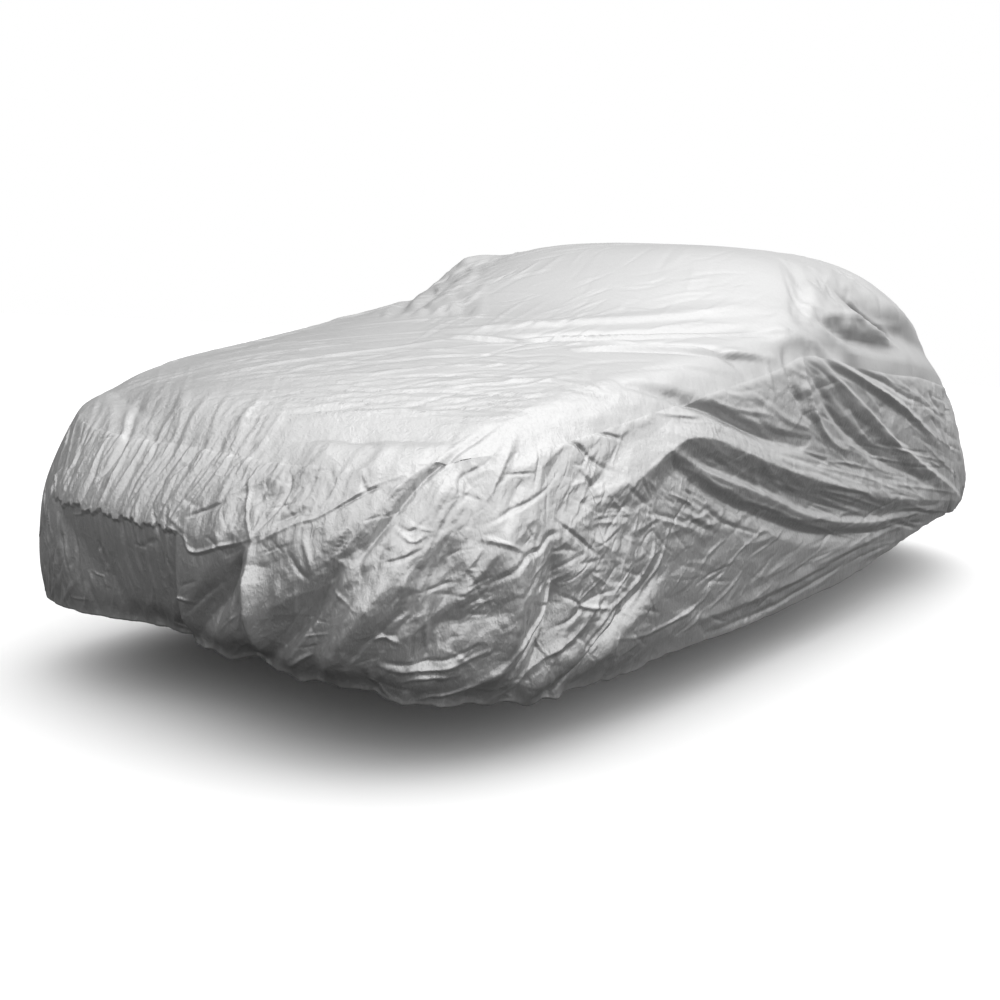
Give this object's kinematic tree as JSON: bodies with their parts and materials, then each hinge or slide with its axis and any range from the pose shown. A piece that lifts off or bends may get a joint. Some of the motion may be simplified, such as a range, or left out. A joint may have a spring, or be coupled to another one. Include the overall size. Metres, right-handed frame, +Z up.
{
  "type": "fitted car cover",
  "caption": "Fitted full outdoor cover of silver coated cloth for a saloon car, hollow and open underneath, with draped folds and a turned elastic hem.",
  "frame": {"origin": "under the crown of the top panel, at the point where the cover is held up", "axes": "+Z up, the front of the cover towards -Y, and the side seen in the picture towards +X"},
  "size_m": [1.8767, 5.0025, 1.2932],
  "materials": {
    "silver_cloth": "satin silver coating on thin woven polyester, bright on top and grey in the folds"
  },
  "bodies": {
    "root": {"top_panel": "silver_cloth", "side_panel_right": "silver_cloth", "side_panel_left": "silver_cloth"}
  },
  "joints": []
}
